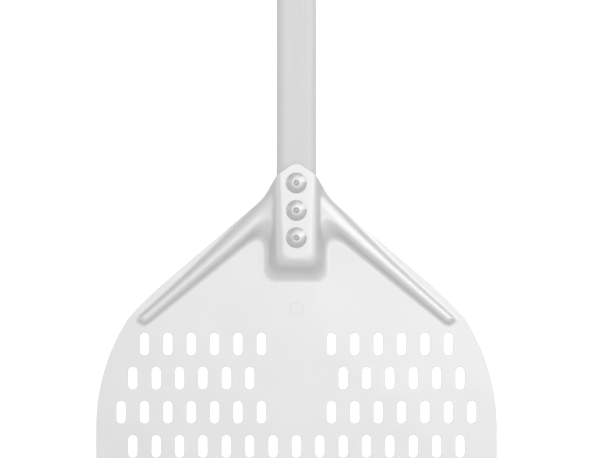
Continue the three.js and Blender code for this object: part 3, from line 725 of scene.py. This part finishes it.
def build_rivet(name, rivet, face_z, y):
    """A set blind rivet: turned rings on a low dome, a collar round the bore, a folded blind end."""
    inner_z, blind_end, crown_z = rivet_levels(rivet, face_z)
    head, rim, bore, bulge = rivet["head"], rivet["rim"], rivet["bore"], rivet["bulge"]
    collar = bore + 0.4 * rim
    profile = [
        (bore, blind_end), (0.75 * bulge, blind_end), (0.93 * bulge, blind_end + 0.5),
        (bulge, (inner_z + blind_end) / 2), (0.94 * bulge, inner_z - 0.6),
        (0.85 * bulge, inner_z - 0.1), (rivet["shank"], inner_z), (rivet["shank"], face_z),
        (head - 0.3 * rim, face_z), (head, face_z + 0.3 * rim), (head, face_z + 0.6 * rim),
        (head - 0.12 * rim, face_z + 0.85 * rim), (head - 0.4 * rim, face_z + rim),
    ]
    dome_from, dome_to = head - 0.4 * rim, collar + 0.55 * rim
    samples = 10 * rivet["rings"]
    for k in range(1, samples + 1):
        share = k / samples
        groove = RING_DEPTH * (0.5 - 0.5 * math.cos(2 * math.pi * rivet["rings"] * share))
        rise = (crown_z - face_z - 1.35 * rim) * math.sin(share * math.pi / 2) ** 0.85
        profile.append((dome_from + (dome_to - dome_from) * share, face_z + rim + rise - groove))
    low_z = profile[-1][1]
    lip_z = crown_z + 0.1 * rim
    profile += [
        (collar + 0.35 * rim, low_z - 0.05), (collar + 0.2 * rim, lip_z - 0.25 * rim),
        (collar + 0.05 * rim, lip_z - 0.05 * rim), (collar - 0.1 * rim, lip_z),
        (bore + 0.1 * rim, lip_z - 0.08 * rim), (bore, lip_z - 0.3 * rim),
    ]
    return spun(name, profile, y)


def build_mandrel(name, rivet, face_z, y):
    """The broken stub of the pulling pin, with its head under the blind end."""
    _, blind_end, crown_z = rivet_levels(rivet, face_z)
    pin = rivet["bore"] - 0.05
    top = crown_z - 0.15 * rivet["rim"]
    below = blind_end - 0.6 * rivet["shank"]
    profile = [
        (0, below), (0.55 * rivet["shank"], below), (0.85 * rivet["shank"], blind_end - 0.4),
        (0.85 * rivet["shank"], blind_end - 0.05), (pin, blind_end - 0.05),
        (pin, top - 0.35 * rivet["rim"]), (0.85 * pin, top - 0.1 * rivet["rim"]), (0.6 * pin, top),
        (0.35 * pin, top - 0.15 * rivet["rim"]), (0, top - 0.2 * rivet["rim"]),
    ]
    return spun(name, profile, y, sides=48)


def grip_sections():
    """Half sizes of the grip at stations from its rounded tip to its mouth."""
    tip, mouth = (y / MM + MIDDLE_Y for y in (grip_high.y, grip_low.y))
    sections = []
    for angle in np.radians(np.linspace(2, 90, 26)):
        half_width = GRIP_HALF_WIDTH * math.sin(angle) ** GRIP_TIP_BLUNTNESS[0]
        half_height = GRIP_HALF_HEIGHT * math.sin(angle) ** GRIP_TIP_BLUNTNESS[1]
        sections.append((tip - GRIP_HALF_WIDTH * (1 - math.cos(angle)), half_width, half_height))
    for groove in reversed(GRIP_GROOVES):
        for share in np.linspace(1, -1, 13):
            depth = GRIP_GROOVE_DEPTH * (0.5 + 0.5 * math.cos(math.pi * share))
            y = mouth + groove + share * GRIP_GROOVE_WIDTH / 2
            sections.append((y, GRIP_HALF_WIDTH - depth, GRIP_HALF_HEIGHT - depth))
    lip = 1
    for turn in np.radians(np.linspace(0, 90, 6)):
        inset = lip * (1 - math.cos(turn))
        y = mouth + lip * (1 - math.sin(turn))
        sections.append((y, GRIP_HALF_WIDTH - inset, GRIP_HALF_HEIGHT - inset))
    return [along_handle(stadium(half_width, half_height, 14), y)
            for y, half_width, half_height in sections]


def eye_cutter():
    """A spool shape that leaves the hanging eye with rounded rims on both faces."""
    y = grip_high.y / MM + MIDDLE_Y - GRIP_EYE_FROM_TIP
    reach = GRIP_HALF_HEIGHT - GRIP_EYE_FLARE
    rim = [(GRIP_EYE_RADIUS + GRIP_EYE_FLARE * (1 - math.cos(t)), reach + GRIP_EYE_FLARE * math.sin(t))
           for t in np.radians(np.linspace(0, 90, 7))]
    rim.append((rim[-1][0], rim[-1][1] + 2))
    upper = [(radius, TUBE_MIDDLE_Z + height) for radius, height in rim]
    lower = [(radius, TUBE_MIDDLE_Z - height) for radius, height in reversed(rim)]
    return spun("cutter", [(0, lower[0][1]), *lower, *upper, (0, upper[-1][1])], y, sides=64)


def build_grip():
    grip = loft("grip", grip_sections())
    mouth, tube_end = (y / MM + MIDDLE_Y for y in (grip_low.y, tube_high.y))
    socket_inset = -CLEARANCE
    socket = loft("cutter", handle_sections([(tube_end + CLEARANCE, socket_inset),
                                             (mouth - 1, socket_inset)]))
    return cut(grip, [socket, eye_cutter(), rivet_cutter(GRIP_RIVET, station("grip_rivet_body"))])


# ---------- materials ----------

class Surface:
    """A Principled material with a few shorthands for procedural detail. Lengths are metres."""

    def __init__(self, name, metallic, roughness, **uniform):
        self.material = bpy.data.materials.new(name)
        self.material.use_nodes = True
        self.nodes = self.material.node_tree.nodes
        self.links = self.material.node_tree.links
        self.shader = self.nodes["Principled BSDF"]
        self.shader.inputs["Metallic"].default_value = metallic
        self.shader.inputs["Roughness"].default_value = roughness
        for key, value in uniform.items():
            self.shader.inputs[key].default_value = value
        self.place = self.nodes.new("ShaderNodeTexCoord").outputs["Object"]
        self.last_bump = None

    def noise(self, size, stretch=(1, 1, 1), detail=3, sharpness=0.5):
        """Noise with features of a size, drawn out by a factor along each axis."""
        mapping = self.nodes.new("ShaderNodeMapping")
        mapping.inputs["Scale"].default_value = [1 / factor for factor in stretch]
        texture = self.nodes.new("ShaderNodeTexNoise")
        texture.inputs["Scale"].default_value = 1 / size
        texture.inputs["Detail"].default_value = detail
        texture.inputs["Roughness"].default_value = sharpness
        self.links.new(self.place, mapping.inputs["Vector"])
        self.links.new(mapping.outputs["Vector"], texture.inputs["Vector"])
        return texture.outputs["Fac"]

    def math(self, operation, a, b=0.0):
        """A sum, product or the like, where each term is a number or another node's output."""
        node = self.nodes.new("ShaderNodeMath")
        node.operation = operation
        for socket, value in zip(node.inputs, (a, b)):
            if isinstance(value, (int, float)):
                socket.default_value = value
            else:
                self.links.new(value, socket)
        return node.outputs["Value"]

    def mixture(self, *terms):
        """The sum of (value, weight) pairs."""
        scaled = [self.math("MULTIPLY", value, weight) for value, weight in terms]
        total = scaled[0]
        for term in scaled[1:]:
            total = self.math("ADD", total, term)
        return total

    def spread(self, value, from_low, from_high, to_low, to_high):
        """Maps one range on to another, and holds values that lie beyond its ends."""
        node = self.nodes.new("ShaderNodeMapRange")
        for key, number in (("From Min", from_low), ("From Max", from_high),
                            ("To Min", to_low), ("To Max", to_high)):
            node.inputs[key].default_value = number
        self.links.new(value, node.inputs["Value"])
        return node.outputs["Result"]

    def colour_between(self, dark, light, factor):
        node = self.nodes.new("ShaderNodeMix")
        node.data_type = "RGBA"
        for key, colour in (("A", dark), ("B", light)):
            socket = next(s for s in node.inputs if s.name == key and s.type == "RGBA")
            socket.default_value = (*colour, 1)
        self.links.new(factor, node.inputs["Factor"])
        result = next(s for s in node.outputs if s.type == "RGBA")
        self.links.new(result, self.shader.inputs["Base Color"])

    def rough(self, value):
        self.links.new(value, self.shader.inputs["Roughness"])

    def bump(self, height, distance):
        """Raises the surface by a height times a distance, on top of the bumps before it."""
        node = self.nodes.new("ShaderNodeBump")
        node.inputs["Distance"].default_value = distance
        self.links.new(height, node.inputs["Height"])
        if self.last_bump is not None:
            self.links.new(self.last_bump, node.inputs["Normal"])
        self.last_bump = node.outputs["Normal"]
        self.links.new(self.last_bump, self.shader.inputs["Normal"])

    def distance_from(self, centre, axes=(1, 1, 1)):
        """Distance of the surface from a point, counting only the given axes."""
        offset = self.nodes.new("ShaderNodeVectorMath")
        offset.operation = "SUBTRACT"
        offset.inputs[1].default_value = centre
        self.links.new(self.place, offset.inputs[0])
        scaled = self.nodes.new("ShaderNodeVectorMath")
        scaled.operation = "MULTIPLY"
        scaled.inputs[1].default_value = axes
        self.links.new(offset.outputs["Vector"], scaled.inputs[0])
        length = self.nodes.new("ShaderNodeVectorMath")
        length.operation = "LENGTH"
        self.links.new(scaled.outputs["Vector"], length.inputs[0])
        return length.outputs["Value"]


def blasted_sheet():
    """Fine-blasted anodised sheet with faint rolling lines, soft waviness and a worn front edge."""
    surface = Surface("blasted_sheet", 1.0, 0.45)
    grain = surface.noise(0.0007, detail=2)
    sparkle = surface.noise(0.00022, detail=1)
    rolling = surface.noise(0.0016, stretch=(1, 60, 1), detail=4)
    cloud = surface.noise(0.09, detail=2)
    scratch = surface.spread(surface.noise(0.0011, stretch=(1, 90, 1), detail=1), 0.7, 0.76, 0, 1)
    front = surface.distance_from((0, head_low.y, 0), axes=(0, 1, 0))
    worn = surface.math("MULTIPLY", surface.spread(front, 0.004, 0.06, 1, 0.12), scratch)
    mark_centre = (0, (MARK_Y - MIDDLE_Y) * MM, SHEET * MM)
    from_ring = surface.math("SUBTRACT", surface.distance_from(mark_centre), MARK_RADIUS * MM)
    ring = surface.spread(surface.math("ABSOLUTE", from_ring), 0.0002, 0.0005, 1, 0)
    tone = surface.mixture((rolling, 0.2), (cloud, 0.4), (worn, 0.3), (ring, -0.9))
    surface.colour_between(SHEET_DARK, SHEET_LIGHT, surface.spread(tone, 0.1, 0.5, 0, 1))
    blasted = surface.spread(grain, 0.3, 0.7, 0.48, 0.55)
    surface.rough(surface.mixture((blasted, 1), (ring, 0.08), (worn, -0.1)))
    surface.bump(cloud, 0.0012)
    surface.bump(grain, 0.000035)
    surface.bump(sparkle, 0.00001)
    surface.bump(surface.math("ADD", worn, ring), -0.00004)
    return surface.material


def anodised_tube():
    """Extruded and anodised tube: fine die lines along it, and faint rubbing where a hand slides."""
    surface = Surface("anodised_tube", 0.25, 0.5)
    lines = surface.noise(0.0007, stretch=(1, 300, 1), detail=4, sharpness=0.6)
    broad = surface.noise(0.004, stretch=(1, 60, 1), detail=2)
    grain = surface.noise(0.0004, detail=2)
    smear = surface.noise(0.05, stretch=(1, 2, 1), detail=3)
    tone = surface.mixture((lines, 0.5), (broad, 0.5))
    surface.colour_between(TUBE_DARK, TUBE_LIGHT, surface.spread(tone, 0.3, 0.7, 0, 1))
    drawn = surface.spread(grain, 0.3, 0.7, 0.5, 0.56)
    rubbed = surface.spread(smear, 0.35, 0.7, 0, 0.05)
    surface.rough(surface.math("ADD", drawn, rubbed))
    surface.bump(lines, 0.00003)
    surface.bump(grain, 0.00001)
    return surface.material


def turned_metal():
    """Bright rivet metal with concentric tool marks, which stretch its highlights into wedges."""
    across_the_marks = {"Anisotropic": 0.8, "Anisotropic Rotation": 0.25}
    surface = Surface("turned_metal", 1.0, 0.3, **across_the_marks)
    mark_pitch = 0.00032
    radius = surface.distance_from((0, 0, 0), axes=(1, 1, 0))
    wander = surface.math("MULTIPLY", surface.noise(0.003, detail=2), 0.0003)
    phase = surface.math("MULTIPLY", surface.math("ADD", radius, wander), 2 * math.pi / mark_pitch)
    marks = surface.spread(surface.math("SINE", phase), -1, 1, 0, 1)
    spots = surface.noise(0.0006, detail=3)
    surface.colour_between(RIVET_DARK, RIVET_LIGHT, surface.spread(spots, 0.3, 0.7, 0, 1))
    surface.rough(surface.spread(spots, 0.3, 0.7, 0.27, 0.33))
    surface.bump(marks, 0.000012)
    surface.bump(spots, 0.000004)
    tangent = surface.nodes.new("ShaderNodeTangent")
    tangent.direction_type = "RADIAL"
    tangent.axis = "Z"
    surface.links.new(tangent.outputs["Tangent"], surface.shader.inputs["Tangent"])
    return surface.material


def broken_steel():
    """Dull steel of the mandrel stubs, rough where the pin snapped."""
    surface = Surface("broken_steel", 1.0, 0.5)
    crystal = surface.noise(0.00035, detail=4, sharpness=0.7)
    surface.colour_between(STEEL_DARK, STEEL_LIGHT, surface.spread(crystal, 0.3, 0.7, 0, 1))
    surface.rough(surface.spread(crystal, 0.3, 0.7, 0.4, 0.65))
    surface.bump(crystal, 0.00015)
    return surface.material


def grained_polymer():
    """Dark grey moulded polymer with a spark-eroded grain and slightly polished high spots."""
    surface = Surface("grained_polymer", 0.0, 0.6)
    grain = surface.noise(0.0006, detail=3, sharpness=0.6)
    fine = surface.noise(0.0002, detail=2)
    handled = surface.noise(0.02, detail=3)
    tone = surface.mixture((grain, 0.6), (handled, 0.4))
    surface.colour_between(POLYMER_DARK, POLYMER_LIGHT, surface.spread(tone, 0.3, 0.7, 0, 1))
    eroded = surface.spread(grain, 0.3, 0.7, 0.66, 0.54)
    polished = surface.spread(handled, 0.45, 0.7, 0, 0.08)
    surface.rough(surface.math("SUBTRACT", eroded, polished))
    surface.bump(grain, 0.00006)
    surface.bump(fine, 0.00002)
    return surface.material


# ---------- camera, light and floor ----------

def add_camera():
    """Straight above the blade, far away with a long lens, picture-up towards the hand end."""
    camera = bpy.data.objects.new("camera", bpy.data.cameras.new("camera"))
    camera.data.lens = LENS
    camera.data.sensor_width = SENSOR
    x, y, _ = to_frame((*VIEW_CENTRE, 0))
    camera.location = (x, y, VIEW_WIDTH * LENS / SENSOR)
    bpy.context.scene.collection.objects.link(camera)
    bpy.context.scene.camera = camera


def add_softbox(name, place, size, brightness):
    """A square soft light turned towards the blade."""
    light = bpy.data.lights.new(name, "AREA")
    light.shape = "SQUARE"
    light.size = size
    light.energy = brightness * math.pi * size ** 2
    lamp = bpy.data.objects.new(name, light)
    lamp.location = place
    aim = Vector(to_frame(SOFTBOX_AIM))
    lamp.rotation_euler = (aim - lamp.location).to_track_quat("-Z", "Y").to_euler()
    bpy.context.scene.collection.objects.link(lamp)


def add_world(grey):
    world = bpy.data.worlds.new("studio")
    world.use_nodes = True
    background = world.node_tree.nodes["Background"]
    background.inputs["Color"].default_value = (grey, grey, grey, 1)
    bpy.context.scene.world = world


def add_floor():
    """A plain pale floor just under the resting plane."""
    corners = [(x * FLOOR_HALF_SIZE, y * FLOOR_HALF_SIZE, FLOOR_Z)
               for x, y in ((-1, -1), (1, -1), (1, 1), (-1, 1))]
    mesh = bpy.data.meshes.new("floor")
    mesh.from_pydata(corners, [], [range(len(corners))])
    floor = bpy.data.objects.new("floor", mesh)
    bpy.context.scene.collection.objects.link(floor)
    surface = Surface("pale_floor", 0.0, 0.8)
    surface.colour_between(FLOOR_DARK, FLOOR_LIGHT, surface.noise(0.4))
    surface.shader.inputs["Emission Color"].default_value = (1, 1, 1, 1)
    seen_directly = surface.nodes.new("ShaderNodeLightPath").outputs["Is Camera Ray"]
    glow = surface.math("MULTIPLY", seen_directly, FLOOR_GLOW)
    surface.links.new(glow, surface.shader.inputs["Emission Strength"])
    mesh.materials.append(surface.material)


add_camera()
add_world(WORLD_GREY)
for softbox_name, softbox in SOFTBOXES.items():
    add_softbox(softbox_name, **softbox)
add_floor()
bpy.context.scene.view_settings.view_transform = "Standard"


# ---------- pieces ----------

def dress(piece, material, slot, *nodes):
    """Gives a piece its material, and puts it in the place of CAD nodes."""
    piece.data.materials.clear()
    piece.data.materials.append(material)
    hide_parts(*nodes)
    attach(piece, "root")


polymer, rivet_metal, steel = grained_polymer(), turned_metal(), broken_steel()
dress(build_head(), blasted_sheet(), "sheet", "head")
dress(build_tube(), anodised_tube(), "tube", "handle_tube")
dress(build_plug(), polymer, "polymer", "tube_plug")
dress(build_grip(), polymer, "polymer", "end_grip")

boss_face_z = head_high.z / MM
grip_face_z = grip_high.z / MM
rivets = [(f"rivet_body_{place}", f"rivet_mandrel_{place}", BLADE_RIVET, boss_face_z)
          for place in BLADE_RIVETS]
rivets.append(("grip_rivet_body", "grip_rivet_mandrel", GRIP_RIVET, grip_face_z))
for body_node, mandrel_node, rivet, face_z in rivets:
    y = station(body_node)
    body = build_rivet(body_node.replace("body", "head"), rivet, face_z, y)
    stub = build_mandrel(mandrel_node.replace("mandrel", "stub"), rivet, face_z, y)
    dress(body, rivet_metal, "rivet", body_node)
    dress(stub, steel, "mandrel", mandrel_node)
